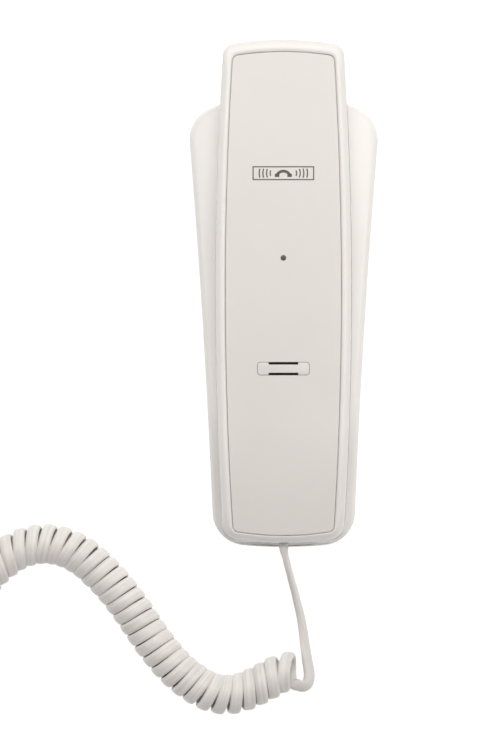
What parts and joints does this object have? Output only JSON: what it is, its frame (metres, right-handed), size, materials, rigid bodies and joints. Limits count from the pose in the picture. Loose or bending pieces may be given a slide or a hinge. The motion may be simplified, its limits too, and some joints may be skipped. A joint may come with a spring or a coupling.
{
  "type": "slimline wall phone",
  "caption": "Slim corded wall phone lying on its back: a narrow handset with keys on its inner face rests in a winged cradle base, and a curly cord with a modular plug leaves its mouth end.",
  "frame": {"origin": "middle of the phone's footprint, on the plane that the rubber feet stand on; the free cord isn't counted", "axes": "+Y towards the ear end along the phone, +X across it to the right as seen from the front, +Z out of the cradle, away from the wall or desk"},
  "size_m": [0.1999, 0.3089, 0.051],
  "materials": {
    "base_abs": "satin moulded warm white",
    "handset_abs": "glossy moulded warm white",
    "plate_abs": "satin moulded warm white, slightly greyer",
    "key_abs": "fine matt white with grey legends",
    "bottom_abs": "fine spark-eroded texture",
    "dark_plastic": "moulded black",
    "rubber": "soft black rubber and foam",
    "silicone": "translucent grey silicone",
    "steel": "zinc-plated",
    "circuit_board": "green solder mask",
    "gold": "gold-plated",
    "wire": "thin insulated wire",
    "smoked_lens": "smoked translucent",
    "diode": "red epoxy",
    "badge_ink": "pad-printed grey",
    "capsule": "pressed can",
    "clear_plastic": "clear polycarbonate",
    "cord_vinyl": "satin vinyl, off-white"
  },
  "bodies": {
    "base": {"base_cover": "base_abs", "bottom_plate": "bottom_abs", "rubber_feet": "rubber", "base_screws": "steel", "ballast_plate": "steel", "base_circuit_board": "circuit_board", "line_socket": "dark_plastic", "cord_socket": "dark_plastic", "base_socket_contacts": "gold", "hook_spring": "steel", "hook_switch": "dark_plastic", "hook_switch_wires": "wire", "cord_lead": "cord_vinyl", "cord_curl": "cord_vinyl", "cord_tail": "cord_vinyl", "free_plug": "clear_plastic", "free_plug_contacts": "gold"},
    "handset": {"handset_outer_shell": "handset_abs", "face_plate": "plate_abs", "handset_inner_shell": "handset_abs", "ringer_grille": "plate_abs", "indicator_lens": "smoked_lens", "indicator_diode": "diode", "badge": "badge_ink", "handset_circuit_board": "circuit_board", "board_parts": "dark_plastic", "key_mat": "silicone", "ringer_switch": "dark_plastic", "receiver_capsule": "capsule", "receiver_gasket": "rubber", "receiver_wires": "wire", "microphone": "capsule", "microphone_boot": "rubber", "ringer_buzzer": "dark_plastic", "handset_socket": "dark_plastic", "handset_plug": "clear_plastic", "handset_plug_contacts": "gold", "handset_screws": "steel"},
    "hook_plunger": {"hook_plunger": "base_abs"},
    "ringer_slider": {"ringer_slider": "key_abs"},
    "key_1": {"key_1": "key_abs"},
    "key_2": {"key_2": "key_abs"},
    "key_3": {"key_3": "key_abs"},
    "key_4": {"key_4": "key_abs"},
    "key_5": {"key_5": "key_abs"},
    "key_6": {"key_6": "key_abs"},
    "key_7": {"key_7": "key_abs"},
    "key_8": {"key_8": "key_abs"},
    "key_9": {"key_9": "key_abs"},
    "key_star": {"key_star": "key_abs"},
    "key_0": {"key_0": "key_abs"},
    "key_hash": {"key_hash": "key_abs"},
    "key_recall": {"key_recall": "key_abs"},
    "key_redial": {"key_redial": "key_abs"},
    "key_mute": {"key_mute": "key_abs"}
  },
  "joints": [
    {"name": "handset_lift", "type": "slide", "parent": "base", "child": "handset", "axis": [0, 0, 1], "range_m": [0, 0.06], "deforming": ["cord_lead"]},
    {"name": "hook_plunger_rise", "type": "slide", "parent": "base", "child": "hook_plunger", "axis": [0, 0, 1], "range_m": [0, 0.003], "stiffness_N_per_m": 100, "springref_m": 0.006, "deforming": ["hook_spring"]},
    {"name": "ringer_slider_shift", "type": "slide", "parent": "handset", "child": "ringer_slider", "axis": [1, 0, 0], "range_m": [-0.002, 0.002]},
    {"name": "key_1_press", "type": "slide", "parent": "handset", "child": "key_1", "axis": [0, 0, 1], "range_m": [0, 0.0012], "stiffness_N_per_m": 300, "deforming": ["key_mat"]},
    {"name": "key_2_press", "type": "slide", "parent": "handset", "child": "key_2", "axis": [0, 0, 1], "range_m": [0, 0.0012], "stiffness_N_per_m": 300, "deforming": ["key_mat"]},
    {"name": "key_3_press", "type": "slide", "parent": "handset", "child": "key_3", "axis": [0, 0, 1], "range_m": [0, 0.0012], "stiffness_N_per_m": 300, "deforming": ["key_mat"]},
    {"name": "key_4_press", "type": "slide", "parent": "handset", "child": "key_4", "axis": [0, 0, 1], "range_m": [0, 0.0012], "stiffness_N_per_m": 300, "deforming": ["key_mat"]},
    {"name": "key_5_press", "type": "slide", "parent": "handset", "child": "key_5", "axis": [0, 0, 1], "range_m": [0, 0.0012], "stiffness_N_per_m": 300, "deforming": ["key_mat"]},
    {"name": "key_6_press", "type": "slide", "parent": "handset", "child": "key_6", "axis": [0, 0, 1], "range_m": [0, 0.0012], "stiffness_N_per_m": 300, "deforming": ["key_mat"]},
    {"name": "key_7_press", "type": "slide", "parent": "handset", "child": "key_7", "axis": [0, 0, 1], "range_m": [0, 0.0012], "stiffness_N_per_m": 300, "deforming": ["key_mat"]},
    {"name": "key_8_press", "type": "slide", "parent": "handset", "child": "key_8", "axis": [0, 0, 1], "range_m": [0, 0.0012], "stiffness_N_per_m": 300, "deforming": ["key_mat"]},
    {"name": "key_9_press", "type": "slide", "parent": "handset", "child": "key_9", "axis": [0, 0, 1], "range_m": [0, 0.0012], "stiffness_N_per_m": 300, "deforming": ["key_mat"]},
    {"name": "key_star_press", "type": "slide", "parent": "handset", "child": "key_star", "axis": [0, 0, 1], "range_m": [0, 0.0012], "stiffness_N_per_m": 300, "deforming": ["key_mat"]},
    {"name": "key_0_press", "type": "slide", "parent": "handset", "child": "key_0", "axis": [0, 0, 1], "range_m": [0, 0.0012], "stiffness_N_per_m": 300, "deforming": ["key_mat"]},
    {"name": "key_hash_press", "type": "slide", "parent": "handset", "child": "key_hash", "axis": [0, 0, 1], "range_m": [0, 0.0012], "stiffness_N_per_m": 300, "deforming": ["key_mat"]},
    {"name": "key_recall_press", "type": "slide", "parent": "handset", "child": "key_recall", "axis": [0, 0, 1], "range_m": [0, 0.0012], "stiffness_N_per_m": 300, "deforming": ["key_mat"]},
    {"name": "key_redial_press", "type": "slide", "parent": "handset", "child": "key_redial", "axis": [0, 0, 1], "range_m": [0, 0.0012], "stiffness_N_per_m": 300, "deforming": ["key_mat"]},
    {"name": "key_mute_press", "type": "slide", "parent": "handset", "child": "key_mute", "axis": [0, 0, 1], "range_m": [0, 0.0012], "stiffness_N_per_m": 300, "deforming": ["key_mat"]}
  ],
  "couplings": [
    {"joint": "hook_plunger_rise", "follows": "handset_lift", "ratio": 0.05}
  ]
}
